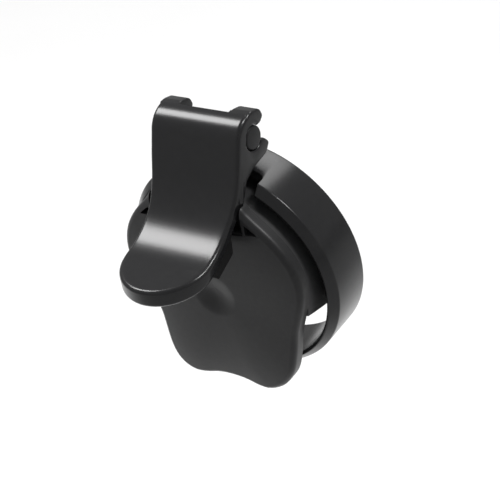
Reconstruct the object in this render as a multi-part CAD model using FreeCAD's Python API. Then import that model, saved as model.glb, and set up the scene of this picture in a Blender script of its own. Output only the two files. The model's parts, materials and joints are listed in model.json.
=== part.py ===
import FreeCAD, Part

import math
import os

from FreeCAD import Vector

# Clicker trainer worn on a fingertip. Millimetres, +X to the right along the hinge pin, +Y to the
# back, +Z up. The origin is on the ring's axis, at the ring's back face. Depths below are counted
# forward from that face, so a depth d lies at Y = -d.

# Ring
RING_R = 13.5
RING_BORE_R = 12.35
RING_DEPTH = 6.35
RING_FRONT_ROUND = 0.45
RING_BACK_ROUND = 0.3
CUTOUT_HALF_WIDTH = 6.0
CUTOUT_BACK = 3.95
CUTOUT_ROUND = 0.6

# Rear housing: a D-shaped drum with a fingertip socket behind its floor and the sound box in front
DRUM_R = 11.14
DRUM_BORE_R = 9.9
DRUM_WALL = DRUM_R - DRUM_BORE_R
DRUM_FRONT = 8.1
FLOOR_BACK = 3.8
FLOOR_FRONT = 5.2
CHORD_BACK_Z = -5.5
CHORD_FRONT_Z = -2.65
FLANGE_DEPTH = 1.2
BRACKET_BOSS_HALF_WIDTH = 2.4
BRACKET_BOSS_FRONT = 6.1
BRACKET_BOSS_Z = 8.4
VENT_X = (4.3, 5.7)
VENT_WIDTH = 0.8
VENT_Z = (-0.4, 4.4)
STAKE_R = 0.6
STAKE_X = 2.6
STAKE_Z = 5.6

# Front cover
FACE_DEPTH = 10.0
FACE_ROUND = 1.0
COVER_INNER = 8.8
INNER_SCALE = 0.9
TOP_EDGE_Z = 8.5
POCKET_FLOOR = 8.7
POCKET_R = 11.6
CHANNEL_HALF_WIDTH = 6.05
RIB_MID_X = 6.2
RIB_HALF_WIDTH = 0.15
FLOOR_SKIN_Z = 7.0
DIMPLE_R = 2.7
DIMPLE_DEPTH = 0.7
NUB_SLOT_HALF_WIDTH = 1.9
NUB_SLOT_Z = 5.9
COVER_SCREWS = ((7.9, 0.3), (5.4, 6.4))
COVER_BOSS_R = 1.1

# The right half of the cover's outline from its top to the valley between the two feet, as (x, z)
COVER_OUTLINE = (
    (3.0, 11.6),
    (5.6, 11.7),
    (6.6, 10.75),
    (7.5, 9.85),
    (9.3, 8.1),
    (10.9, 5.85),
    (11.75, 3.2),
    (11.65, 0.6),
    (10.9, -1.9),
    (9.75, -4.8),
    (9.1, -7.8),
    (8.35, -10.6),
    (6.8, -12.5),
    (4.9, -13.3),
    (2.6, -13.1),
)
COVER_TOP_Z = 11.4
COVER_VALLEY_Z = -12.75

# Hinge
HINGE_DEPTH = 3.98
HINGE_Z = 17.0
PIN_R = 1.35
PIN_CHAMFER = 0.2
RUNNING_GAP = 0.05
CHEEK_INNER = 2.0
CHEEK_OUTER = 3.0
CHEEK_R = 1.95
CHEEK_ROOT_Z = 13.9
SADDLE_BACK = 4.1
SADDLE_FRONT = 6.2
SADDLE_HALF_WIDTH = 3.0
SADDLE_TOP = 12.3
SADDLE_SCREW_X = 1.05
SADDLE_SCREW_DEPTH = 5.05
SADDLE_SCREW_HEAD_R = 0.85

# Thumb lever
LEVER_HALF_WIDTH = 5.86
TONGUE_HALF_WIDTH = 5.45
TAPER_FROM = 7.5
TAPER_TO = 11.5
TIP_CENTRE = 15.45
TIP_FRONT = TIP_CENTRE + TONGUE_HALF_WIDTH
EAR_INNER = 3.3
NOTCH_FRONT = 4.5
LEVER_TOP = (3.6, 20.25)
TOP_BEND = (5.7, 20.25)
TOP_BEND_R = 2.4
LOW_BEND = (10.65, 8.42)
LOW_BEND_R = 9.7
TIP_TOP_Z = 7.7
TIP_UNDER_Z = 5.6
UNDER_BEND = (9.95, 6.7)
UNDER_BEND_R = 13.0
BACK_TOP = (3.6, 18.95)
BACK_BEND = (5.0, 18.65)
RELIEF_R = 2.15
ROOM_R = 14.0
ROOM_CENTRE = (18.9, 19.0)
ROOM_HALF_WIDTH = 6.05
NUB_HALF_WIDTH = 1.4
NUB_R = 0.8
NUB_DEPTH = 10.4
NUB_FRONT = 13.0
NUB_TOP_Z = 8.2
PAD_HALF_WIDTH = 5.2
PAD_CORNERS = ((10.8, 9.2, 0), (10.8, 8.0, 0), (11.05, 6.75, 0.4), (14.3, 5.6, 0.15), (14.3, 7.4, 0))

# Click mechanism
STRIKER_Z = 7.6
STRIKER_R = 1.0
STRIKER_TIP = 9.5
STRIKER_BACK = 6.85
STRIKER_FLANGE = (7.0, 7.4)
STRIKER_FLANGE_R = 1.6
BUSH_R = 1.5
BUSH = (7.5, 8.5)
BUSH_BOSS_R = 2.3
LEAF_HALF_WIDTH = 2.4
LEAF = (6.55, 6.8)
LEAF_Z = (-1.2, 9.1)
LEAF_DIMPLE_Z = 4.0
LEAF_DIMPLE_R = 1.3
FRAME_FRONT = 5.7
FRAME_HALF_WIDTH = 3.5
FRAME_Z = (-1.3, 6.6)
PEDESTAL_Z = (-1.2, 1.2)
RIVET_X = 1.5
RIVET_Z = 0.0
RIVET_R = 0.5
RIVET_HEAD_R = 0.9
RIVET_HEAD = 0.35

# Screws and spring
SCREW_R = 0.5
SCREW_HEAD_R = 0.95
SCREW_HEAD = 0.6
WIRE_R = 0.15
COIL_R = PIN_R + 0.1 + WIRE_R
COIL_HALF_LENGTH = 1.7
COIL_TURNS = 6

FAR = 40.0


def at(x, depth, z):
    return Vector(x, -depth, z)


def block(x_half, depth_range, z_range, x_mid=0.0):
    """A box, symmetric about x_mid, between two depths and two heights."""
    low, high = depth_range
    corner = at(x_mid - x_half, high, z_range[0])
    return Part.makeBox(2 * x_half, high - low, z_range[1] - z_range[0], corner)


def disc(radius, depth_range, x=0.0, z=0.0):
    """A cylinder along the ring's axis between two depths."""
    low, high = depth_range
    return Part.makeCylinder(radius, high - low, at(x, high, z), Vector(0, 1, 0))


def rod(radius, half_length, depth, z):
    """A cylinder along X, centred on X = 0."""
    return Part.makeCylinder(radius, 2 * half_length, at(-half_length, depth, z), Vector(1, 0, 0))


def rounded_path(corners):
    """Edges through (depth, z, radius) corners, with a tangent arc at each corner that has a radius."""
    edges = []
    start = at(0, corners[0][0], corners[0][1])
    for before, corner, after in zip(corners, corners[1:], corners[2:]):
        point = at(0, corner[0], corner[1])
        back = (at(0, before[0], before[1]) - point).normalize()
        ahead = (at(0, after[0], after[1]) - point).normalize()
        half = back.getAngle(ahead) / 2
        tangent = corner[2] / math.tan(half)
        middle = (back + ahead).normalize()
        reach = corner[2] / math.sin(half) - corner[2]
        if corner[2] == 0:
            edges.append(Part.makeLine(start, point))
            start = point
            continue
        arc_start = point + back * tangent
        arc_end = point + ahead * tangent
        edges.append(Part.makeLine(start, arc_start))
        edges.append(Part.Arc(arc_start, point + middle * reach, arc_end).toShape())
        start = arc_end
    edges.append(Part.makeLine(start, at(0, corners[-1][0], corners[-1][1])))
    return edges


def across(corners, x_low, x_high):
    """The closed profile of (depth, z, radius) corners, extruded along X."""
    closed = list(corners) + [corners[0]]
    face = Part.Face(Part.Wire(rounded_path(closed)))
    face.translate(Vector(x_low, 0, 0))
    return face.extrude(Vector(x_high - x_low, 0, 0))


def round_edges(solid, radius, wanted):
    """The solid with the wanted edges rounded; wanted takes an edge and says whether it counts."""
    return solid.makeFillet(radius, [edge for edge in solid.Edges if wanted(edge)])


def chord_space():
    """Everything above the slanted underside of the D-shaped drum."""
    slope = (CHORD_FRONT_Z - CHORD_BACK_Z) / DRUM_FRONT
    near = CHORD_BACK_Z - slope * FAR
    far = CHORD_BACK_Z + slope * FAR
    return across([(-FAR, near, 0), (FAR, far, 0), (FAR, FAR, 0), (-FAR, FAR, 0)], -FAR, FAR)


def make_outer_ring():
    turned = [
        Part.makeLine(at(RING_BORE_R, 0, 0), at(RING_R - RING_BACK_ROUND, 0, 0)),
        Part.makeLine(at(RING_R - RING_BACK_ROUND, 0, 0), at(RING_R, RING_BACK_ROUND, 0)),
        Part.makeLine(at(RING_R, RING_BACK_ROUND, 0), at(RING_R, RING_DEPTH - RING_FRONT_ROUND, 0)),
        front_round_arc(),
        Part.makeLine(at(RING_R - RING_FRONT_ROUND, RING_DEPTH, 0), at(RING_BORE_R, RING_DEPTH, 0)),
        Part.makeLine(at(RING_BORE_R, RING_DEPTH, 0), at(RING_BORE_R, 0, 0)),
    ]
    ring = Part.Face(Part.Wire(turned)).revolve(Vector(0, 0, 0), Vector(0, 1, 0), 360)
    opening = block(CUTOUT_HALF_WIDTH, (CUTOUT_BACK, FAR), (0, FAR))
    opening = round_edges(opening, CUTOUT_ROUND, lambda edge: is_upright_at(edge, -CUTOUT_BACK))
    return ring.cut(opening)


def is_upright_at(edge, y):
    box = edge.BoundBox
    return box.ZLength > 1 and box.XLength < 0.01 and abs(box.YMax - y) < 0.01 and box.YLength < 0.01


def front_round_arc():
    centre = at(RING_R - RING_FRONT_ROUND, RING_DEPTH - RING_FRONT_ROUND, 0)
    diagonal = RING_FRONT_ROUND * math.sqrt(0.5)
    middle = centre + at(diagonal, diagonal, 0)
    start = at(RING_R, RING_DEPTH - RING_FRONT_ROUND, 0)
    end = at(RING_R - RING_FRONT_ROUND, RING_DEPTH, 0)
    return Part.Arc(start, middle, end).toShape()


def cover_screw_places():
    return [(side * x, z) for x, z in COVER_SCREWS for side in (-1, 1)]


def make_rear_housing():
    upper = chord_space()
    inner_upper = upper.copy()
    inner_upper.translate(Vector(0, 0, DRUM_WALL))
    drum = disc(DRUM_R, (0, DRUM_FRONT)).fuse(disc(RING_BORE_R, (0, FLANGE_DEPTH))).common(upper)
    drum = drum.cut(disc(DRUM_BORE_R, (-1, FLOOR_BACK)))
    drum = drum.cut(disc(DRUM_BORE_R, (FLOOR_FRONT, FAR)).common(inner_upper))
    drum = drum.cut(lever_room())
    boss_box = (FLOOR_BACK, BRACKET_BOSS_FRONT)
    boss = block(BRACKET_BOSS_HALF_WIDTH, boss_box, (BRACKET_BOSS_Z, DRUM_R)).common(disc(DRUM_R, boss_box))
    drum = drum.fuse(boss)
    for x in VENT_X:
        for side in (-1, 1):
            drum = drum.cut(block(VENT_WIDTH / 2, (FLOOR_BACK - 1, FLOOR_FRONT + 1), VENT_Z, side * x))
    for x, z in cover_screw_places():
        drum = drum.cut(disc(SCREW_R, (FLOOR_BACK - 1, FLOOR_FRONT + 1), x, z))
        drum = drum.cut(disc(SCREW_HEAD_R, (FLOOR_BACK - 1, FLOOR_BACK + SCREW_HEAD), x, z))
    for side in (-1, 1):
        drum = drum.fuse(disc(STAKE_R, (FLOOR_FRONT - 0.5, FRAME_FRONT + 0.2), side * STAKE_X, STAKE_Z))
        drum = drum.cut(saddle_screw_shank(side))
    return drum.removeSplitter()


def saddle_screw_shank(side):
    foot = at(side * SADDLE_SCREW_X, SADDLE_SCREW_DEPTH, BRACKET_BOSS_Z + 0.4)
    return Part.makeCylinder(SCREW_R, SADDLE_TOP - BRACKET_BOSS_Z - 0.4, foot)


def saddle_screw_head(side):
    foot = at(side * SADDLE_SCREW_X, SADDLE_SCREW_DEPTH, SADDLE_TOP - SCREW_HEAD)
    return Part.makeCylinder(SADDLE_SCREW_HEAD_R, SCREW_HEAD, foot)


def cover_outline(scale):
    """The cover's closed, mirror-symmetric outline at the drum's front, scaled about the ring's axis."""
    right = [at(x * scale, DRUM_FRONT, z * scale) for x, z in COVER_OUTLINE]
    left = [at(-x * scale, DRUM_FRONT, z * scale) for x, z in reversed(COVER_OUTLINE)]
    top = [at(0, DRUM_FRONT, COVER_TOP_Z * scale)]
    valley = [at(0, DRUM_FRONT, COVER_VALLEY_Z * scale)]
    curve = Part.BSplineCurve()
    curve.interpolate(Points=top + right + valley + left, PeriodicFlag=True)
    return Part.Face(Part.Wire(curve.toShape()))


def make_front_cover():
    cover = cover_outline(1.0).extrude(at(0, FACE_DEPTH - DRUM_FRONT, 0))
    cover = round_edges(cover, FACE_ROUND, lambda edge: edge.BoundBox.YMax < -FACE_DEPTH + 0.1)
    inner = cover_outline(INNER_SCALE)
    cover = cover.cut(inner.extrude(at(0, COVER_INNER - DRUM_FRONT, 0)))
    cover = cover.fuse(channel_floor())
    front = (POCKET_FLOOR, FAR)
    pocket = disc(POCKET_R, front).common(block(FAR, front, (TOP_EDGE_Z, FAR)))
    for side in (-1, 1):
        pocket = pocket.cut(block(RIB_HALF_WIDTH, front, (0, FAR), side * RIB_MID_X))
    cover = cover.cut(pocket).cut(block(CHANNEL_HALF_WIDTH, front, (TOP_EDGE_Z, FAR)))
    cover = cover.cut(lever_room())
    cover = cover.cut(block(NUB_SLOT_HALF_WIDTH, (BUSH[1], FAR), (NUB_SLOT_Z, FAR)))
    cover = cover.fuse(disc(BUSH_BOSS_R, (BUSH[0], BUSH[1]), 0, STRIKER_Z))
    cover = cover.cut(disc(BUSH_R, (BUSH[0] - 1, BUSH[1] + 0.2), 0, STRIKER_Z))
    for x, z in cover_screw_places():
        cover = cover.fuse(disc(COVER_BOSS_R, (FLOOR_FRONT, COVER_INNER + 0.1), x, z))
    for x, z in cover_screw_places():
        cover = cover.cut(disc(SCREW_R, (FLOOR_FRONT - 1, COVER_INNER), x, z))
    ball_r = (DIMPLE_R**2 + DIMPLE_DEPTH**2) / (2 * DIMPLE_DEPTH)
    ball = Part.makeSphere(ball_r, at(0, FACE_DEPTH + ball_r - DIMPLE_DEPTH, 0))
    return cover.cut(ball).removeSplitter()


def channel_floor():
    """The skin that closes the sound box behind the lever's channel and the two pockets."""
    skin = cover_outline(1.0).extrude(at(0, POCKET_FLOOR - DRUM_FRONT, 0))
    return skin.common(block(FAR, (DRUM_FRONT, POCKET_FLOOR), (FLOOR_SKIN_Z, FAR)))


def lever_room():
    """The scoop that leaves room for the pressed lever in the drum's and the cover's top edges."""
    return rod(ROOM_R, ROOM_HALF_WIDTH, ROOM_CENTRE[0], ROOM_CENTRE[1])


def make_hinge_bracket():
    saddle = block(SADDLE_HALF_WIDTH, (SADDLE_BACK, SADDLE_FRONT), (DRUM_BORE_R, SADDLE_TOP))
    saddle = saddle.cut(disc(DRUM_R, (0, FAR)))
    bracket = saddle
    for side in (-1, 1):
        low = min(side * CHEEK_INNER, side * CHEEK_OUTER)
        outline = [
            (SADDLE_BACK, SADDLE_TOP - 0.5, 0),
            (SADDLE_FRONT - 0.3, SADDLE_TOP - 0.5, 0),
            (HINGE_DEPTH + CHEEK_R * 0.85, HINGE_Z - 1.1, 0),
            (HINGE_DEPTH - CHEEK_R, HINGE_Z - 0.1, 0),
            (SADDLE_BACK, CHEEK_ROOT_Z, 0),
        ]
        cheek = across(outline, low, low + CHEEK_OUTER - CHEEK_INNER)
        ear = rod(CHEEK_R, (CHEEK_OUTER - CHEEK_INNER) / 2, HINGE_DEPTH, HINGE_Z)
        ear.translate(Vector(side * (CHEEK_INNER + CHEEK_OUTER) / 2, 0, 0))
        bracket = bracket.fuse(cheek).fuse(ear)
        bracket = bracket.cut(saddle_screw_shank(side)).cut(saddle_screw_head(side))
    bracket = bracket.cut(rod(PIN_R, LEVER_HALF_WIDTH, HINGE_DEPTH, HINGE_Z))
    return bracket.removeSplitter()


def make_hinge_pin():
    pin = rod(PIN_R, LEVER_HALF_WIDTH, HINGE_DEPTH, HINGE_Z)
    return pin.makeChamfer(PIN_CHAMFER, [edge for edge in pin.Edges if edge.Closed])


def make_bracket_screws():
    screws = [saddle_screw_shank(side).fuse(saddle_screw_head(side)).removeSplitter() for side in (-1, 1)]
    return Part.makeCompound(screws)


def make_housing_screws():
    screws = []
    for x, z in cover_screw_places():
        shank = disc(SCREW_R, (FLOOR_BACK, COVER_INNER), x, z)
        head = disc(SCREW_HEAD_R, (FLOOR_BACK, FLOOR_BACK + SCREW_HEAD), x, z)
        slot = block(0.12, (FLOOR_BACK - 1, FLOOR_BACK + 0.25), (z - 0.7, z + 0.7), x)
        screws.append(shank.fuse(head).cut(slot).removeSplitter())
    return Part.makeCompound(screws)


def lever_plan():
    """The lever's outline seen from above: square ears, a slight taper and a half-round tip."""
    back = 0.0
    tip = at(0, TIP_FRONT, 0)
    right = [
        at(LEVER_HALF_WIDTH, back, 0),
        at(LEVER_HALF_WIDTH, TAPER_FROM, 0),
        at(TONGUE_HALF_WIDTH, TAPER_TO, 0),
        at(TONGUE_HALF_WIDTH, TIP_CENTRE, 0),
    ]
    left = [Vector(-point.x, point.y, 0) for point in right]
    edges = [Part.makeLine(a, b) for a, b in zip(right, right[1:])]
    edges.append(Part.Arc(right[-1], tip, left[-1]).toShape())
    edges += [Part.makeLine(a, b) for a, b in zip(left[::-1], left[-2::-1])]
    edges.append(Part.makeLine(left[0], right[0]))
    return Part.Face(Part.Wire(edges)).extrude(Vector(0, 0, FAR))


def lever_blade():
    corners = [
        (LEVER_TOP[0], LEVER_TOP[1], 0),
        (TOP_BEND[0], TOP_BEND[1], TOP_BEND_R),
        (LOW_BEND[0], LOW_BEND[1], LOW_BEND_R),
        (TIP_FRONT + 0.5, TIP_TOP_Z, 0),
        (TIP_FRONT + 0.5, TIP_UNDER_Z, 0),
        (UNDER_BEND[0], UNDER_BEND[1], UNDER_BEND_R),
        (BACK_BEND[0], BACK_BEND[1], 0.8),
        (BACK_TOP[0], BACK_TOP[1], 0),
    ]
    blade = across(corners, -LEVER_HALF_WIDTH, LEVER_HALF_WIDTH).common(lever_plan())
    return blade.cut(block(EAR_INNER, (0, NOTCH_FRONT), (0, FAR)))


def lever_ear(side):
    """One snap-on ear; its mouth opens to the back so that it can be pushed onto the pin."""
    corners = [
        (9.6, 10.9, 0),
        (7.6, 11.9, 1.0),
        (6.7, 13.2, 0.8),
        (5.0, 13.9, 1.0),
        (2.4, 14.2, 0.6),
        (1.55, 15.1, 0.4),
        (2.2, 15.9, 0.3),
        (3.0, 16.1, 0),
        (3.1, 17.9, 0),
        (2.3, 17.9, 0.2),
        (1.6, 18.4, 0.3),
        (1.9, 19.8, 0.9),
        (3.6, 20.25, 0.9),
        (4.7, 20.2, 0),
        (6.4, 17.6, 0),
    ]
    low = min(side * EAR_INNER, side * LEVER_HALF_WIDTH)
    return across(corners, low, low + LEVER_HALF_WIDTH - EAR_INNER)


def lever_nub():
    """The rib under the lever that pushes the striker."""
    rib = block(NUB_HALF_WIDTH, (NUB_DEPTH, NUB_FRONT), (STRIKER_Z - NUB_R, NUB_TOP_Z))
    return rib.fuse(rod(NUB_R, NUB_HALF_WIDTH, NUB_DEPTH, STRIKER_Z))


def make_thumb_lever():
    lever = lever_blade()
    lever = lever.cut(rod(RELIEF_R, EAR_INNER, HINGE_DEPTH, HINGE_Z))
    for side in (-1, 1):
        lever = lever.fuse(lever_ear(side))
    lever = lever.cut(rod(PIN_R + RUNNING_GAP, FAR, HINGE_DEPTH, HINGE_Z))
    lever = lever.fuse(lever_nub())
    return lever.removeSplitter()


def make_lever_pad():
    """The soft strip under the tongue that meets the cover when the lever is pressed too far."""
    pad = across(PAD_CORNERS, -PAD_HALF_WIDTH, PAD_HALF_WIDTH)
    return pad.cut(lever_blade()).cut(lever_nub())


def make_return_spring():
    pitch = 2 * COIL_HALF_LENGTH / COIL_TURNS
    helix = Part.makeHelix(pitch, 2 * COIL_HALF_LENGTH, COIL_R)
    section = Part.Wire(Part.makeCircle(WIRE_R, Vector(COIL_R, 0, 0), Vector(0, 1, 0)))
    coil = Part.Wire(helix).makePipeShell([section], True, True)
    coil.rotate(Vector(0, 0, 0), Vector(0, 1, 0), 90)
    coil.translate(at(-COIL_HALF_LENGTH, HINGE_DEPTH, HINGE_Z))
    return Part.Solid(coil) if coil.ShapeType == "Shell" else coil


def make_striker():
    stem = disc(STRIKER_R, (STRIKER_BACK, STRIKER_TIP), 0, STRIKER_Z)
    tip_rim = [edge for edge in stem.Edges if edge.Closed and edge.BoundBox.YMax < -STRIKER_TIP + 0.1]
    stem = stem.makeFillet(0.3, tip_rim)
    return stem.fuse(disc(STRIKER_FLANGE_R, STRIKER_FLANGE, 0, STRIKER_Z)).removeSplitter()


def make_striker_bush():
    outer = disc(BUSH_R, BUSH, 0, STRIKER_Z)
    return outer.cut(disc(STRIKER_R + RUNNING_GAP, (0, FAR), 0, STRIKER_Z))


def rivet_places():
    return [(side * RIVET_X, RIVET_Z) for side in (-1, 1)]


def make_click_plate():
    leaf = block(LEAF_HALF_WIDTH, LEAF, LEAF_Z)
    leaf = round_edges(leaf, 0.6, lambda edge: abs(edge.BoundBox.YLength - LEAF[1] + LEAF[0]) < 0.01)
    dome = Part.makeSphere(LEAF_DIMPLE_R * 1.6, at(0, LEAF[0] + 1.75, LEAF_DIMPLE_Z))
    shell = dome.cut(Part.makeSphere(LEAF_DIMPLE_R * 1.6 - 0.25, at(0, LEAF[0] + 1.75, LEAF_DIMPLE_Z)))
    bump = shell.common(disc(LEAF_DIMPLE_R, (LEAF[0] - 0.4, LEAF[0] + 0.1), 0, LEAF_DIMPLE_Z))
    hollow = Part.makeSphere(LEAF_DIMPLE_R * 1.6 - 0.25, at(0, LEAF[0] + 1.75, LEAF_DIMPLE_Z))
    leaf = leaf.fuse(bump).cut(hollow)
    for x, z in rivet_places():
        leaf = leaf.cut(disc(RIVET_R, (0, FAR), x, z))
    return leaf.removeSplitter()


def make_click_frame():
    frame = block(FRAME_HALF_WIDTH, (FLOOR_FRONT, FRAME_FRONT), FRAME_Z)
    frame = frame.fuse(block(LEAF_HALF_WIDTH, (FLOOR_FRONT, LEAF[0]), PEDESTAL_Z))
    for side in (-1, 1):
        wall_mid = side * (FRAME_HALF_WIDTH - 0.2)
        frame = frame.fuse(block(0.2, (FLOOR_FRONT, FRAME_FRONT + 0.7), (FRAME_Z[0], FRAME_Z[1] - 2.2), wall_mid))
        frame = frame.cut(disc(STAKE_R, (0, FAR), side * STAKE_X, STAKE_Z))
    for x, z in rivet_places():
        frame = frame.cut(disc(RIVET_R, (0, FAR), x, z))
    return frame.removeSplitter()


def make_click_rivets():
    rivets = []
    for x, z in rivet_places():
        shank = disc(RIVET_R, (FLOOR_FRONT, LEAF[1]), x, z)
        head = disc(RIVET_HEAD_R, (LEAF[1], LEAF[1] + RIVET_HEAD), x, z)
        rivets.append(shank.fuse(head).removeSplitter())
    return Part.makeCompound(rivets)


NODES = {
    "outer_ring": make_outer_ring,
    "rear_housing": make_rear_housing,
    "front_cover": make_front_cover,
    "hinge_bracket": make_hinge_bracket,
    "hinge_pin": make_hinge_pin,
    "bracket_screws": make_bracket_screws,
    "housing_screws": make_housing_screws,
    "thumb_lever": make_thumb_lever,
    "lever_pad": make_lever_pad,
    "return_spring": make_return_spring,
    "striker": make_striker,
    "striker_bush": make_striker_bush,
    "click_plate": make_click_plate,
    "click_frame": make_click_frame,
    "click_rivets": make_click_rivets,
}

os.makedirs("parts", exist_ok=True)
for name, make in NODES.items():
    shape = make()
    size = shape.BoundBox
    print(name, shape.isValid(), len(shape.Solids), "solids, volume", round(shape.Volume, 1))
    print("   x %.2f to %.2f, y %.2f to %.2f, z %.2f to %.2f"
          % (size.XMin, size.XMax, size.YMin, size.YMax, size.ZMin, size.ZMax))
    shape.exportStep("parts/" + name + ".step")
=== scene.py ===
import json
import math

import bmesh
import bpy
from mathutils import Matrix, Vector


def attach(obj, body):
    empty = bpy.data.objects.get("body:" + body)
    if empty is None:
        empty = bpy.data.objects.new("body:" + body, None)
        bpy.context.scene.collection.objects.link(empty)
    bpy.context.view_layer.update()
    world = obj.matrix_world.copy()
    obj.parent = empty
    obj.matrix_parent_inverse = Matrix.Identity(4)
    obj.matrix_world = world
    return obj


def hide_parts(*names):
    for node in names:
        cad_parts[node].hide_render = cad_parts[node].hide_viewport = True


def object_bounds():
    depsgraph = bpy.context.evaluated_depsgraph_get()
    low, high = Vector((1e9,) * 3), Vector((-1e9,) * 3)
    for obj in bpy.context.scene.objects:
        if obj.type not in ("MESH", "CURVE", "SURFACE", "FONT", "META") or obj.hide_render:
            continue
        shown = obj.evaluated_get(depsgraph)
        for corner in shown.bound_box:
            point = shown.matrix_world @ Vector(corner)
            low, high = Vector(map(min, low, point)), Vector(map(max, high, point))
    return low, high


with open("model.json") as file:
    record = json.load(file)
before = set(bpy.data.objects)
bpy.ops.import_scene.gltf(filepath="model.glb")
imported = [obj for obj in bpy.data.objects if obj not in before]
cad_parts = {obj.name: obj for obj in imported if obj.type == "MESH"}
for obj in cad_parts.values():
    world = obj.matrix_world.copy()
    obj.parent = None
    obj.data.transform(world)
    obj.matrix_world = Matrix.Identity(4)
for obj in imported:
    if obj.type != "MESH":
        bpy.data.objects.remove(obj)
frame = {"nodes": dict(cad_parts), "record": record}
cad_low, cad_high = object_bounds()

# Sizes are millimetres in the CAD frame: +X right along the hinge pin, +Y back, +Z up. A depth d is
# counted forward from the collar's back face, so it lies at Y = -d.
MM = 0.001
# Past every piece, for a cutter that runs right out
BEYOND = 20

# Collar
RING_R = 13.5
RING_BORE_R = 12.35
RING_DEPTH = 6.35
# How far the front chamfer reaches across the rim and back along the side, and its two eased edges
RING_CHAMFER = (0.75, 0.95)
CHAMFER_ROUNDS = (0.15, 0.35)
CHAMFER_LEADS = (0.1, 0.3)
RING_BACK_ROUND = 0.3
RING_LIP_ROUND = 0.25
RING_BACK_LIP = 0.12
CUTOUT_HALF_WIDTH = 6.0
CUTOUT_BACK = 3.95
CUTOUT_ROUND = 0.6
CUTOUT_FOOT_Z = 2.0
CUT_EDGE_ROUND = 0.14

# Front cover
COVER_BACK = 8.1
# The rim's depth above the first height and below the second
RIM_DEPTH = (9.7, 9.95)
RIM_LEAN_Z = (3.0, -12.0)
CROWN = 0.42
CROWN_REACH = 3.2
CENTRE_TO_RIM = 11
COVER_ROUND = 0.75
COVER_CUT_ROUND = 0.1
TOP_EDGE_Z = 8.5
POCKET_FLOOR = 8.7
POCKET_R = 11.6
CHANNEL_HALF_WIDTH = 6.05
RIB_MID_X = 6.2
RIB_HALF_WIDTH = 0.2
DIMPLE_R = 2.9
DIMPLE_DEPTH = 0.45
DIMPLE_Z = -0.8
DIMPLE_FULLNESS = 0.8
# (x, z) round the cover, clockwise from the top
COVER_OUTLINE = (
    (0.0, 11.4),
    (3.0, 11.6),
    (5.6, 11.7),
    (6.6, 10.75),
    (7.5, 9.85),
    (9.3, 8.1),
    (10.9, 5.85),
    (11.75, 3.2),
    (11.65, 0.6),
    (10.9, -1.9),
    (9.75, -4.8),
    (8.95, -7.8),
    (8.0, -10.5),
    (6.65, -12.35),
    (5.35, -13.3),
    (3.95, -13.8),
    (2.5, -13.67),
    (0.9, -13.2),
    (-1.2, -13.05),
    (-2.9, -13.23),
    (-4.6, -13.7),
    (-6.25, -13.85),
    (-7.75, -13.2),
    (-8.75, -11.8),
    (-9.13, -9.9),
    (-9.2, -7.65),
    (-9.4, -4.9),
    (-10.9, -1.9),
    (-11.65, 0.6),
    (-11.75, 3.2),
    (-10.9, 5.85),
    (-9.3, 8.1),
    (-7.5, 9.85),
    (-6.6, 10.75),
    (-5.6, 11.7),
    (-3.0, 11.6),
)

# Hinge and lever
HINGE_DEPTH = 3.98
HINGE_Z = 17.0
PIN_R = 1.35
PIN_ROUND = 0.2
BORE_R = 1.4
EAR_MOUTH_HALF = 0.9
LEVER_HALF_WIDTH = 5.86
TONGUE_HALF_WIDTH = 5.45
TAPER_FROM = 7.5
TAPER_TO = 11.5
TIP_CENTRE = 15.45
TIP_FRONT = TIP_CENTRE + TONGUE_HALF_WIDTH
NOTCH_FRONT = 4.0
NOTCH_Z = (10, 30)
SPRING_ROOM_R = 2.15
EAR_INNER = 3.3
LEVER_ROUND = 0.48
# The depths over which the underside's rim rounding grows from nothing
EAR_FOOT = (8.7, 9.6)
EAR_ROUND = 0.24
BLADE_BACK = 3.6
LEVER_TOP_Z = 19.85
# Side-view lines through (depth, z, corner radius)
TOP_CORNERS = (
    (BLADE_BACK, LEVER_TOP_Z, 0),
    (5.87, LEVER_TOP_Z, 3.1),
    (10.65, 8.42, 9.7),
    (TIP_FRONT + 0.5, 7.7, 0),
)
UNDER_CORNERS = (
    (BLADE_BACK, 18.7, 0),
    (5.0, 18.35, 0.8),
    (9.95, 6.7, 13.0),
    (TIP_FRONT + 0.5, 5.6, 0),
)
NUB_HALF_WIDTH = 1.4
NUB_CORNERS = (
    (13.0, 8.2, 0),
    (13.0, 6.8, 0.2),
    (9.6, 6.8, 0.75),
    (9.6, 8.4, 0.75),
    (10.6, 8.7, 0),
    (13.0, 8.2, 0),
)
# The room that the cover leaves for the lever's curved underside
ROOM_R = 14.0
ROOM_DEPTH = 18.9
ROOM_Z = 19.0


def at(x, depth, z):
    """The point in metres."""
    return Vector((x, -depth, z)) * MM


# Mesh helpers


def new_piece(name, points, faces, smooth_below=35):
    """A mesh object from points in millimetres; edges blunter than smooth_below degrees shade smooth."""
    mesh = bpy.data.meshes.new(name)
    mesh.from_pydata([at(*p) for p in points], [], faces)
    piece = bpy.data.objects.new(name, mesh)
    bpy.context.scene.collection.objects.link(piece)
    finish_normals(piece, smooth_below)
    return piece


def finish_normals(piece, smooth_below=35):
    """Merges doubled points, turns the faces outwards and sets which edges shade smooth."""
    work = bmesh.new()
    work.from_mesh(piece.data)
    bmesh.ops.remove_doubles(work, verts=work.verts, dist=0.002 * MM)
    bmesh.ops.recalc_face_normals(work, faces=work.faces)
    work.to_mesh(piece.data)
    work.free()
    piece.data.shade_smooth()
    piece.data.set_sharp_from_angle(angle=math.radians(smooth_below))


def applied(piece):
    """Bakes the piece's modifiers into its mesh."""
    bpy.context.view_layer.update()
    evaluated = piece.evaluated_get(bpy.context.evaluated_depsgraph_get())
    mesh = bpy.data.meshes.new_from_object(evaluated)
    piece.modifiers.clear()
    piece.data = mesh
    return piece


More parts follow.
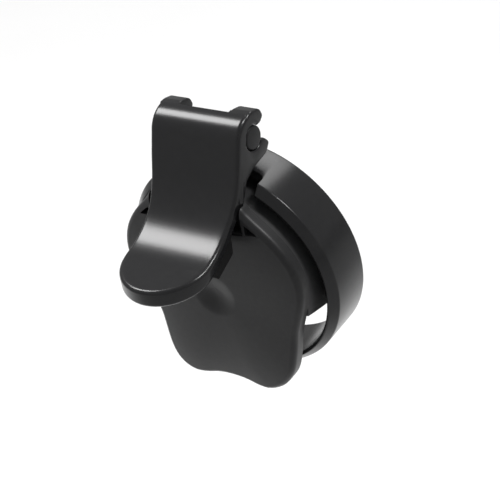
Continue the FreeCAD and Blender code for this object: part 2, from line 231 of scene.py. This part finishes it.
def combine(piece, others, operation):
    """Cuts the others from the piece, or joins them to it, and removes them."""
    for other in others:
        step = piece.modifiers.new("combine", "BOOLEAN")
        step.operation = operation
        step.solver = "EXACT"
        step.object = other
        applied(piece)
        bpy.data.objects.remove(other)
    return piece


def soften(piece, width, segments=3, angle=40):
    """A small bevel along the piece's sharp edges."""
    bevel = piece.modifiers.new("soften", "BEVEL")
    bevel.width = width * MM
    bevel.segments = segments
    bevel.limit_method = "ANGLE"
    bevel.angle_limit = math.radians(angle)
    applied(piece)
    finish_normals(piece)
    return piece


def lathe(name, profile, steps=256):
    """Turns a closed (radius, depth) profile about the collar's axis."""
    points = []
    for i in range(steps):
        turn = math.tau * i / steps
        points += [(r * math.sin(turn), depth, r * math.cos(turn)) for r, depth in profile]
    n = len(profile)
    faces = []
    for i in range(steps):
        for j in range(n):
            a, b = i * n, (i + 1) % steps * n
            faces.append((a + j, a + (j + 1) % n, b + (j + 1) % n, b + j))
    return new_piece(name, points, faces)


def block(x_range, depth_range, z_range):
    """A box between two values on each axis."""
    points = [(x, d, z) for x in x_range for d in depth_range for z in z_range]
    faces = [(0, 1, 3, 2), (4, 6, 7, 5), (0, 4, 5, 1), (2, 3, 7, 6), (0, 2, 6, 4), (1, 5, 7, 3)]
    return new_piece("block", points, faces)


def prism_faces(n):
    """The faces between two n-point outlines, and the outlines themselves as end faces."""
    faces = [(i, (i + 1) % n, n + (i + 1) % n, n + i) for i in range(n)]
    return faces + [tuple(range(n)), tuple(range(2 * n - 1, n - 1, -1))]


def rod(radius, half_length, depth, z, steps=96):
    """A cylinder along X, centred on X = 0."""
    points = []
    for x in (-half_length, half_length):
        for i in range(steps):
            turn = math.tau * i / steps
            points.append((x, depth + radius * math.cos(turn), z + radius * math.sin(turn)))
    return new_piece("rod", points, prism_faces(steps))


def quarter(radius, steps):
    """(run, drop) pairs round a quarter circle, from its start on the flat to its end on the side."""
    turns = [math.pi / 2 * i / steps for i in range(steps + 1)]
    return [(radius * math.sin(t), radius * (1 - math.cos(t))) for t in turns]


def rounded_line(corners, arc_steps):
    """Points through (a, b, radius) corners, with a tangent arc at each corner that has a radius."""
    line = [Vector(corners[0][:2])]
    for before, corner, after in zip(corners, corners[1:], corners[2:]):
        point = Vector(corner[:2])
        if corner[2] == 0:
            line.append(point)
            continue
        back = (Vector(before[:2]) - point).normalized()
        ahead = (Vector(after[:2]) - point).normalized()
        half = back.angle(ahead) / 2
        centre = point + (back + ahead).normalized() * (corner[2] / math.sin(half))
        start = point + back * (corner[2] / math.tan(half)) - centre
        turn = start.angle_signed(point + ahead * (corner[2] / math.tan(half)) - centre)
        for i in range(arc_steps + 1):
            line.append(centre + Matrix.Rotation(-turn * i / arc_steps, 2) @ start)
    line.append(Vector(corners[-1][:2]))
    return line


def point_at_depth(line, depth):
    """The line's point at a depth; the line's depths only grow."""
    for a, b in zip(line, line[1:]):
        if a.x <= depth <= b.x and b.x > a.x:
            return a.lerp(b, (depth - a.x) / (b.x - a.x))
    return line[-1].copy()


def spaced(line, count):
    """count points evenly spaced along the line."""
    lengths = [0.0]
    for a, b in zip(line, line[1:]):
        lengths.append(lengths[-1] + (b - a).length)
    result = []
    k = 0
    for i in range(count):
        want = lengths[-1] * i / (count - 1)
        while k < len(line) - 2 and lengths[k + 1] < want:
            k += 1
        span = lengths[k + 1] - lengths[k]
        result.append(line[k].lerp(line[k + 1], (want - lengths[k]) / span if span else 0.0))
    return result


def normals_left(line):
    """The unit normal on the left of an open line at each of its points."""
    result = []
    for i in range(len(line)):
        along = (line[min(i + 1, len(line) - 1)] - line[max(i - 1, 0)]).normalized()
        result.append(Vector((-along.y, along.x)))
    return result


# Collar


def ring_front():
    """The chamfer round the collar's front, from the flat rim out to the side, with both edges eased."""
    across, back = RING_CHAMFER
    corners = [
        (RING_R - across - CHAMFER_LEADS[0], RING_DEPTH, 0),
        (RING_R - across, RING_DEPTH, CHAMFER_ROUNDS[0]),
        (RING_R, RING_DEPTH - back, CHAMFER_ROUNDS[1]),
        (RING_R, RING_DEPTH - back - CHAMFER_LEADS[1], 0),
    ]
    return [tuple(p) for p in rounded_line(corners, 6)]


def ring_profile():
    """The collar's closed (radius, depth) section."""
    inside = [(RING_BORE_R + RING_BACK_LIP, 0), (RING_BORE_R, RING_BACK_LIP)]
    lip_edge = RING_BORE_R + RING_LIP_ROUND
    lip = [(lip_edge - run, RING_DEPTH - drop) for run, drop in quarter(RING_LIP_ROUND, 6)]
    back = [(RING_R - RING_BACK_ROUND + run, drop) for run, drop in quarter(RING_BACK_ROUND, 6)]
    return inside + lip[::-1] + ring_front() + back[::-1]


def make_cutout():
    """The cutter for the square cut-out where the lever's bracket stands."""
    corners = [
        (-CUTOUT_HALF_WIDTH, BEYOND, 0),
        (-CUTOUT_HALF_WIDTH, CUTOUT_BACK, CUTOUT_ROUND),
        (CUTOUT_HALF_WIDTH, CUTOUT_BACK, CUTOUT_ROUND),
        (CUTOUT_HALF_WIDTH, BEYOND, 0),
    ]
    outline = rounded_line(corners, 8)
    points = [(p.x, p.y, z) for z in (CUTOUT_FOOT_Z, BEYOND) for p in outline]
    return new_piece("cutout", points, prism_faces(len(outline)))


def make_collar():
    """The round collar, turned from its section and cut out at the top front."""
    ring = lathe("collar", ring_profile())
    combine(ring, [make_cutout()], "DIFFERENCE")
    return soften(ring, CUT_EDGE_ROUND)


# Front cover


def closed_curve(outline, per_span):
    """A smooth closed curve through the outline's points."""
    knots = [Vector(p) for p in outline]
    n = len(knots)
    curve = []
    for i in range(n):
        a, b, c, d = (knots[(i + k - 1) % n] for k in range(4))
        for j in range(per_span):
            t = j / per_span
            near = (c - a) * 0.5
            far = (d - b) * 0.5
            curve.append(
                b * (2 * t**3 - 3 * t**2 + 1) + near * (t**3 - 2 * t**2 + t)
                + c * (3 * t**2 - 2 * t**3) + far * (t**3 - t**2)
            )
    return curve


def relaxed(curve, rounds):
    """The closed curve with its small wobbles evened out."""
    n = len(curve)
    for _ in range(rounds):
        curve = [(curve[i - 1] + curve[i] * 2 + curve[(i + 1) % n]) / 4 for i in range(n)]
    return curve


def rim_depth(z):
    """The cover's rim leans forward towards its feet."""
    share = min(max((z - RIM_LEAN_Z[0]) / (RIM_LEAN_Z[1] - RIM_LEAN_Z[0]), 0), 1)
    return RIM_DEPTH[0] + (RIM_DEPTH[1] - RIM_DEPTH[0]) * share * share * (3 - 2 * share)


def face_depth(x, z, rim_distance):
    """How far forward the cover's crowned face stands."""
    depth = rim_depth(z) + CROWN * (1 - math.exp(-rim_distance / CROWN_REACH))
    off_centre = math.hypot(x, z - DIMPLE_Z) / DIMPLE_R
    if off_centre >= 1:
        return depth
    return depth - DIMPLE_DEPTH * (0.5 + 0.5 * math.cos(math.pi * off_centre)) ** DIMPLE_FULLNESS


def inward_normals(outline):
    """The unit normal at each of the closed outline's points, towards its inside."""
    n = len(outline)
    normals = []
    for i in range(n):
        along = (outline[(i + 1) % n] - outline[i - 1]).normalized()
        normals.append(Vector((along.y, -along.x)))
    if normals[0].dot(outline[0]) > 0:
        normals = [-normal for normal in normals]
    return normals


def cover_loops(outline):
    """Closed rows of points: up the side wall, over the rounded rim and in across the face."""
    normals = inward_normals(outline)
    loops = [[(p.x, COVER_BACK, p.y) for p in outline]]
    wall_steps = 5
    for i in range(1, wall_steps + 1):
        reach = [(rim_depth(p.y) - COVER_ROUND - COVER_BACK) * i / wall_steps for p in outline]
        loops.append([(p.x, COVER_BACK + d, p.y) for p, d in zip(outline, reach)])
    for run, drop in [(COVER_ROUND - r, d) for r, d in quarter(COVER_ROUND, 10)][::-1][1:]:
        ring = [p + m * run for p, m in zip(outline, normals)]
        loops.append([(p.x, rim_depth(q.y) - drop, p.y) for p, q in zip(ring, outline)])
    rim = [p + m * COVER_ROUND for p, m in zip(outline, normals)]
    face_steps = 70
    for i in range(1, face_steps):
        share = i / face_steps
        ring = [p * (1 - share) for p in rim]
        loops.append([(p.x, face_depth(p.x, p.y, q.length - p.length), p.y) for p, q in zip(ring, rim)])
    return loops


def rows_of_faces(row_count, n):
    """Faces between neighbouring closed rows of n points."""
    faces = []
    for k in range(row_count - 1):
        for i in range(n):
            j = (i + 1) % n
            faces.append((k * n + i, k * n + j, (k + 1) * n + j, (k + 1) * n + i))
    return faces


def make_cover():
    """The shield-shaped cover, cut for the lever's channel, its swing and the two small pockets."""
    outline = relaxed(closed_curve(COVER_OUTLINE, 12), 10)
    n = len(outline)
    loops = cover_loops(outline)
    points = [p for loop in loops for p in loop]
    points.append((0, face_depth(0, 0, CENTRE_TO_RIM), 0))
    faces = rows_of_faces(len(loops), n)
    last = (len(loops) - 1) * n
    faces += [(last + i, last + (i + 1) % n, len(points) - 1) for i in range(n)]
    faces.append(tuple(range(n)))
    cover = new_piece("shield_cover", points, faces)
    channel = (-CHANNEL_HALF_WIDTH, CHANNEL_HALF_WIDTH)
    cutters = [
        block(channel, (POCKET_FLOOR, BEYOND), (TOP_EDGE_Z, BEYOND)),
        rod(ROOM_R, CHANNEL_HALF_WIDTH, ROOM_DEPTH, ROOM_Z, 180),
    ]
    cutters += [make_pocket(side) for side in (-1, 1)]
    combine(cover, cutters, "DIFFERENCE")
    return soften(cover, COVER_CUT_ROUND, 2, 50)


def make_pocket(side):
    """The small triangular pocket beside the lever's channel."""
    near = RIB_MID_X + RIB_HALF_WIDTH
    corner = math.sqrt(POCKET_R**2 - near**2)
    start = math.atan2(corner, near)
    end = math.asin(TOP_EDGE_Z / POCKET_R)
    arc = [start + (end - start) * i / 12 for i in range(13)]
    outline = [(near, TOP_EDGE_Z)] + [(POCKET_R * math.cos(t), POCKET_R * math.sin(t)) for t in arc]
    points = [(side * x, depth, z) for depth in (POCKET_FLOOR, BEYOND) for x, z in outline]
    return new_piece("pocket", points, prism_faces(len(outline)))


# Thumb lever


def half_width(depth):
    """The lever's half-width, from its plan: square, then tapered, then a half-round tip."""
    if depth > TIP_CENTRE:
        return math.sqrt(max(TONGUE_HALF_WIDTH**2 - (depth - TIP_CENTRE) ** 2, 0))
    share = min(max((depth - TAPER_FROM) / (TAPER_TO - TAPER_FROM), 0), 1)
    share = share * share * (3 - 2 * share)
    return LEVER_HALF_WIDTH + (TONGUE_HALF_WIDTH - LEVER_HALF_WIDTH) * share


def rim_distance(x, depth):
    """How far a point of the plan lies inside the lever's outline."""
    if depth > TIP_CENTRE:
        return TONGUE_HALF_WIDTH - math.hypot(x, depth - TIP_CENTRE)
    return half_width(depth) - abs(x)


def rim_inset(distance, radius):
    """How far the lever's skin lies inside its full thickness near a rim rounded to this radius."""
    if distance >= radius:
        return 0.0
    reach = radius - max(distance, 0)
    return radius - math.sqrt(radius**2 - reach**2)


def under_round(depth):
    """The underside's rim radius: none where the ears join the blade, so that the sides stay flush."""
    share = (depth - EAR_FOOT[0]) / (EAR_FOOT[1] - EAR_FOOT[0])
    return LEVER_ROUND * min(max(share, 0), 1)


def lever_stations(corners):
    """Points along one face of the blade: even up to the tip's centre, then closing on the tip."""
    line = rounded_line(corners, 48)
    body = [p for p in line if p.x < TIP_CENTRE] + [point_at_depth(line, TIP_CENTRE)]
    tip_steps = 40
    turns = [math.pi / 2 * i / tip_steps for i in range(1, tip_steps + 1)]
    tip = [point_at_depth(line, TIP_CENTRE + TONGUE_HALF_WIDTH * math.sin(t)) for t in turns]
    return spaced(body, 120) + tip


def lever_columns():
    """Places across the blade, from -1 to 1, crowded towards both rims."""
    right = [1 - LEVER_ROUND / TONGUE_HALF_WIDTH * (1 - math.cos(math.pi / 2 * i / 8)) for i in range(9)]
    middle = [right[-1] * (1 - i / 12) for i in range(1, 13)]
    right += middle
    return [-u for u in right[:-1]] + right[::-1]


def make_blade():
    """The lever's curved blade: a top and an underside skin, closed along the rims and at the back."""
    columns = lever_columns()
    top = lever_stations(TOP_CORNERS)
    under = lever_stations(UNDER_CORNERS)
    n = len(columns)
    points = []
    for line, inward in ((top, -1), (under, 1)):
        for p, normal in zip(line, normals_left(line)):
            width = half_width(p.x)
            radius = LEVER_ROUND if inward < 0 else under_round(p.x)
            for u in columns:
                q = p + normal * (inward * rim_inset(rim_distance(u * width, p.x), radius))
                points.append((u * width, q.x, q.y))
    rows = len(top)
    faces = []
    for i in range(rows - 1):
        for j in range(n - 1):
            a = i * n + j
            faces.append((a, a + 1, a + n + 1, a + n))
            b = a + rows * n
            faces.append((b, b + n, b + n + 1, b + 1))
        for j in (0, n - 1):
            a = i * n + j
            b = a + rows * n
            faces.append((a, a + n, b + n, b))
    faces.append(tuple(range(n)) + tuple(rows * n + j for j in reversed(range(n))))
    last = (rows - 1) * n
    faces.append(tuple(last + j for j in range(n)) + tuple(rows * n + last + j for j in reversed(range(n))))
    return new_piece("blade", points, faces, 60)


def ear_outline():
    """One snap-on ear from the side; its mouth opens to the back round the hinge pin."""
    lip = math.sqrt(BORE_R**2 - EAR_MOUTH_HALF**2)
    before = [
        (4.0, LEVER_TOP_Z, 0),
        (5.9, 18.2, 0),
        (8.65, 11.15, 0),
        (7.6, 11.9, 1.0),
        (6.7, 13.2, 0.8),
        (5.0, 13.9, 1.0),
        (2.4, 14.2, 0.6),
        (1.55, 15.1, 0.4),
        (2.2, 15.9, 0.45),
        (HINGE_DEPTH - lip, HINGE_Z - EAR_MOUTH_HALF, 0),
    ]
    after = [
        (HINGE_DEPTH - lip, HINGE_Z + EAR_MOUTH_HALF, 0),
        (2.3, 17.9, 0.6),
        (1.6, 18.4, 0.45),
        (1.9, 19.45, 0.9),
        (3.3, LEVER_TOP_Z, 0.9),
        (4.0, LEVER_TOP_Z, 0),
    ]
    start = math.atan2(-EAR_MOUTH_HALF, -lip)
    sweep = math.tau - 2 * math.asin(EAR_MOUTH_HALF / BORE_R)
    turns = [start + sweep * i / 48 for i in range(1, 48)]
    bore = [Vector((HINGE_DEPTH + BORE_R * math.cos(t), HINGE_Z + BORE_R * math.sin(t))) for t in turns]
    return rounded_line(before, 8) + bore + rounded_line(after, 8)[:-1]


def make_ear(side):
    """An ear on one side of the lever, with its side faces' edges rounded."""
    outline = ear_outline()
    n = len(outline)
    area = sum(outline[i - 1].cross(outline[i]) for i in range(n))
    inward = []
    for i in range(n):
        along = (outline[(i + 1) % n] - outline[i - 1]).normalized()
        inward.append(Vector((-along.y, along.x)) * (1 if area > 0 else -1))
    rounding = quarter(EAR_ROUND, 4)
    sections = [(EAR_INNER + EAR_ROUND - run, drop) for run, drop in rounding[::-1]]
    sections += [(LEVER_HALF_WIDTH - EAR_ROUND + run, drop) for run, drop in rounding]
    points = []
    for x, inset in sections:
        for p, m in zip(outline, inward):
            q = p + m * inset
            points.append((side * x, q.x, q.y))
    faces = rows_of_faces(len(sections), n)
    last = (len(sections) - 1) * n
    faces += [tuple(range(n)), tuple(range(last, last + n))]
    return new_piece("ear", points, faces)


def make_lever():
    """The thumb lever: blade, two ears, room for the spring, and the nub."""
    lever = make_blade()
    notch = block((-EAR_INNER, EAR_INNER), (0, NOTCH_FRONT), NOTCH_Z)
    combine(lever, [notch], "DIFFERENCE")
    combine(lever, [make_ear(-1), make_ear(1)], "UNION")
    relief = rod(SPRING_ROOM_R, EAR_INNER, HINGE_DEPTH, HINGE_Z)
    combine(lever, [relief], "DIFFERENCE")
    combine(lever, [make_nub()], "UNION")
    finish_normals(lever)
    lever.name = "thumb_rocker"
    return lever


def make_nub():
    """The rib under the lever that pushes the striker."""
    outline = rounded_line(NUB_CORNERS, 6)[:-1]
    points = [(x, p.x, p.y) for x in (-NUB_HALF_WIDTH, NUB_HALF_WIDTH) for p in outline]
    return new_piece("nub", points, prism_faces(len(outline)))


def make_pin():
    """The hinge pin, with rounded ends."""
    half = LEVER_HALF_WIDTH
    rounding = quarter(PIN_ROUND, 5)
    profile = [(0, -half)] + [(PIN_R - PIN_ROUND + run, -half + drop) for run, drop in rounding]
    profile += [(PIN_R - PIN_ROUND + run, half - drop) for run, drop in rounding[::-1]] + [(0, half)]
    points = []
    steps = 96
    for i in range(steps):
        turn = math.tau * i / steps
        points += [(x, HINGE_DEPTH + r * math.cos(turn), HINGE_Z + r * math.sin(turn)) for r, x in profile]
    n = len(profile)
    faces = []
    for i in range(steps):
        for j in range(n - 1):
            a, b = i * n + j, (i + 1) % steps * n + j
            faces.append((a, a + 1, b + 1, b))
    return new_piece("lever_pin", points, faces)


# Materials

NOISE_RANGE = (0.3, 0.7)
BUMP_HEIGHT = 0.00002


def node(tree, kind, **inputs):
    """A new shader node with input values set by name, with _ for each space in the name."""
    made = tree.nodes.new(kind)
    for key, value in inputs.items():
        made.inputs[key.replace("_", " ")].default_value = value
    return made


def ramp_between(tree, source, low, high):
    """A colour that runs from low to high over the middle of the source's noise."""
    ramp = tree.nodes.new("ShaderNodeValToRGB")
    ramp.color_ramp.elements[0].color = (*low, 1)
    ramp.color_ramp.elements[0].position = NOISE_RANGE[0]
    ramp.color_ramp.elements[1].color = (*high, 1)
    ramp.color_ramp.elements[1].position = NOISE_RANGE[1]
    tree.links.new(source, ramp.inputs["Fac"])
    return ramp.outputs["Color"]


def surface(name, dark, light, roughness, scale, bump, metallic=0.0, specular=0.5, stretch=(1, 1, 1)):
    """A shader whose colour, roughness and fine bump vary with noise; scale is noise cells per metre."""
    material = bpy.data.materials.new(name)
    material.use_nodes = True
    tree = material.node_tree
    shader = tree.nodes["Principled BSDF"]
    shader.inputs["Metallic"].default_value = metallic
    shader.inputs["Specular IOR Level"].default_value = specular
    place = tree.nodes.new("ShaderNodeTexCoord")
    mapping = tree.nodes.new("ShaderNodeMapping")
    mapping.inputs["Scale"].default_value = stretch
    tree.links.new(place.outputs["Object"], mapping.inputs["Vector"])
    cloud = node(tree, "ShaderNodeTexNoise", Scale=scale * 0.15, Detail=4.0)
    grain = node(tree, "ShaderNodeTexNoise", Scale=scale, Detail=3.0)
    for noise in (cloud, grain):
        tree.links.new(mapping.outputs["Vector"], noise.inputs["Vector"])
    tree.links.new(ramp_between(tree, cloud.outputs["Fac"], dark, light), shader.inputs["Base Color"])
    low, high = NOISE_RANGE
    smooth, rough = roughness
    spread = node(tree, "ShaderNodeMapRange", From_Min=low, From_Max=high, To_Min=smooth, To_Max=rough)
    tree.links.new(grain.outputs["Fac"], spread.inputs["Value"])
    tree.links.new(spread.outputs["Result"], shader.inputs["Roughness"])
    height = node(tree, "ShaderNodeBump", Strength=bump, Distance=BUMP_HEIGHT)
    tree.links.new(grain.outputs["Fac"], height.inputs["Height"])
    tree.links.new(height.outputs["Normal"], shader.inputs["Normal"])
    return material


def grey(value, blue=0.001):
    """A neutral colour with a trace of blue."""
    return (value, value, round(value + blue, 4))


MOULDED = surface("moulded_black", grey(0.011), grey(0.014), (0.21, 0.24), 9000, 0.05)
MATERIALS = {
    "ring_plastic": MOULDED,
    "lever_plastic": MOULDED,
    "housing_plastic": surface(
        "inner_black", grey(0.05, 0.002), grey(0.06, 0.002), (0.4, 0.5), 9000, 0.15
    ),
    "cover_plastic": surface(
        "satin_black", grey(0.015), grey(0.019), (0.36, 0.41), 12000, 0.1, specular=0.42
    ),
    "black_metal": surface(
        "black_oxide", grey(0.008), grey(0.014), (0.3, 0.38), 8000, 0.1, specular=0.35
    ),
    "screw_steel": surface(
        "screw_steel", grey(0.4, 0.01), grey(0.5, 0.01), (0.25, 0.4), 9000, 0.3, metallic=1.0
    ),
    "frame_steel": surface(
        "sheet_steel", grey(0.36, 0.01), grey(0.46, 0.01), (0.3, 0.42), 7000, 0.3, metallic=1.0,
        stretch=(1, 1, 0.08),
    ),
    "spring_steel": surface(
        "spring_steel", grey(0.45, 0.02), grey(0.58, 0.02), (0.18, 0.28), 8000, 0.2, metallic=1.0,
        stretch=(0.08, 1, 1),
    ),
    "brass": surface(
        "brass", (0.62, 0.44, 0.17), (0.74, 0.54, 0.24), (0.25, 0.36), 8000, 0.25, metallic=1.0
    ),
    "black_rubber": surface(
        "black_rubber", grey(0.005, 0), grey(0.007, 0), (0.7, 0.85), 14000, 0.6, specular=0.3
    ),
}


def dress(piece, slot, body, *replaced):
    """Gives a new piece its material, body and the CAD nodes that it stands for."""
    piece.data.materials.clear()
    piece.data.materials.append(MATERIALS[slot])
    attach(piece, body)
    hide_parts(*replaced)


dress(make_collar(), "ring_plastic", "housing", "outer_ring")
dress(make_cover(), "cover_plastic", "housing", "front_cover")
dress(make_pin(), "black_metal", "housing", "hinge_pin")
dress(make_lever(), "lever_plastic", "lever", "thumb_lever")

SLOT_OF_NODE = {part["node"]: part["material_slot"] for part in frame["record"]["subparts"]}
for name, cad_object in frame["nodes"].items():
    for material_slot in cad_object.material_slots:
        material_slot.material = MATERIALS[SLOT_OF_NODE[name]]


# Stage, lights and camera

# Lengths from here on are metres. The floor is white round WHITE_CENTRE and fades to grey over WHITE_REACH;
# the grey is a painted shade, so that the cover's lower part reflects a darker floor.
FLOOR_HALF = 3
FLOOR_GAP = 0.1
FLOOR_GLOW = 0.05
WHITE_CENTRE = (-0.15, 0.12)
WHITE_REACH = (0.17, 0.28)
# The floor's colour at the far end of the painted shade, as a share of its white
PAINTED_SHADE_SHARE = 0.45
# The surroundings are a little darker towards one side, between these cosines from its direction.
SURROUND = 0.4
SURROUND_DARK = 0.3
DARK_SIDE = (0.55, -0.62, 0.56)
DARK_COSINES = (0.75, 0.95)
LIGHT_DISTANCE = 0.6
LENS = 119.1
TARGET = Vector((0, -0.0063, 0.0035))
CAMERA_AT = Vector((0.1031, -0.1183, 0.1052))
RIGHT = Vector((0.817, 0.539, -0.207)).normalized()
UP = Vector((-0.175, 0.572, 0.801)).normalized()
TOWARD = RIGHT.cross(UP)


def make_floor():
    """A floor, well below the object, which is worn on a finger and stands on nothing; its colour carries a
    painted shade.
    """
    mesh = bpy.data.meshes.new("floor")
    level = cad_low[2] - FLOOR_GAP
    corners = [(x * FLOOR_HALF, y * FLOOR_HALF, level) for x, y in ((-1, -1), (1, -1), (1, 1), (-1, 1))]
    mesh.from_pydata(corners, [], [(0, 1, 2, 3)])
    floor = bpy.data.objects.new("floor", mesh)
    bpy.context.scene.collection.objects.link(floor)
    mesh.materials.append(floor_material_with_painted_shade(level))


def floor_material_with_painted_shade(level):
    """Matt white, fading to grey away from WHITE_CENTRE: a painted shade, so that the cover's lower part
    reflects a darker floor.
    """
    material = surface("white_floor_painted_shade", grey(0.93, 0), grey(0.95, 0), (0.8, 0.9), 60, 0.0)
    tree = material.node_tree
    shader = tree.nodes["Principled BSDF"]
    shader.inputs["Emission Color"].default_value = (1, 1, 1, 1)
    shader.inputs["Emission Strength"].default_value = FLOOR_GLOW
    white = shader.inputs["Base Color"].links[0].from_socket
    spot = tree.nodes.new("ShaderNodeVectorMath")
    spot.operation = "DISTANCE"
    spot.inputs[1].default_value = (*WHITE_CENTRE, level)
    tree.links.new(tree.nodes["Texture Coordinate"].outputs["Object"], spot.inputs[0])
    near, far = WHITE_REACH
    # Painted shade: the floor's colour is dimmed with distance from WHITE_CENTRE
    painted_shade_fade = node(tree, "ShaderNodeMapRange", From_Min=near, From_Max=far, To_Min=1.0, To_Max=PAINTED_SHADE_SHARE)
    tree.links.new(spot.outputs["Value"], painted_shade_fade.inputs["Value"])
    painted_shade_dimmed = tree.nodes.new("ShaderNodeVectorMath")
    painted_shade_dimmed.operation = "SCALE"
    tree.links.new(white, painted_shade_dimmed.inputs["Vector"])
    tree.links.new(painted_shade_fade.outputs["Result"], painted_shade_dimmed.inputs["Scale"])
    tree.links.new(painted_shade_dimmed.outputs["Vector"], shader.inputs["Base Color"])
    return material


def softbox(name, direction, size, radiance):
    """An area light that faces the object from a direction."""
    light = bpy.data.lights.new(name, "AREA")
    light.shape = "RECTANGLE"
    light.size, light.size_y = size
    light.energy = radiance * math.pi * size[0] * size[1]
    lamp = bpy.data.objects.new(name, light)
    bpy.context.scene.collection.objects.link(lamp)
    toward = Vector(direction).normalized()
    lamp.location = TARGET + toward * LIGHT_DISTANCE
    lamp.rotation_euler = toward.to_track_quat("Z", "Y").to_euler()


def make_camera():
    """The camera, turned so that RIGHT and UP are the picture's right and up."""
    lens = bpy.data.cameras.new("camera")
    lens.sensor_width = 36.0
    lens.lens = LENS
    lens.clip_start = 0.01
    camera = bpy.data.objects.new("camera", lens)
    bpy.context.scene.collection.objects.link(camera)
    turn = Matrix((RIGHT, TOWARD.cross(RIGHT), TOWARD)).transposed().to_4x4()
    camera.matrix_world = Matrix.Translation(CAMERA_AT) @ turn
    bpy.context.scene.camera = camera


def make_world():
    """Even white surroundings, a little darker towards DARK_SIDE."""
    world = bpy.data.worlds.new("studio")
    world.use_nodes = True
    tree = world.node_tree
    sky = tree.nodes["Background"]
    sky.inputs["Color"].default_value = (1, 1, 1, 1)
    place = tree.nodes.new("ShaderNodeTexCoord")
    facing = tree.nodes.new("ShaderNodeVectorMath")
    facing.operation = "DOT_PRODUCT"
    facing.inputs[1].default_value = DARK_SIDE
    tree.links.new(place.outputs["Generated"], facing.inputs[0])
    low, high = DARK_COSINES
    spread = node(
        tree, "ShaderNodeMapRange", From_Min=low, From_Max=high, To_Min=SURROUND, To_Max=SURROUND_DARK
    )
    tree.links.new(facing.outputs["Value"], spread.inputs["Value"])
    tree.links.new(spread.outputs["Result"], sky.inputs["Strength"])
    bpy.context.scene.world = world
    bpy.context.scene.view_settings.view_transform = "Standard"


make_floor()
make_world()
softbox("key", (-0.58, -0.03, 0.81), (0.2, 0.24), 14.0)
softbox("overhead", (0.0, 0.65, 0.74), (0.26, 0.2), 4.5)
softbox("rim", (0.62, 0.2, 0.76), (0.12, 0.12), 26.0)
make_camera()
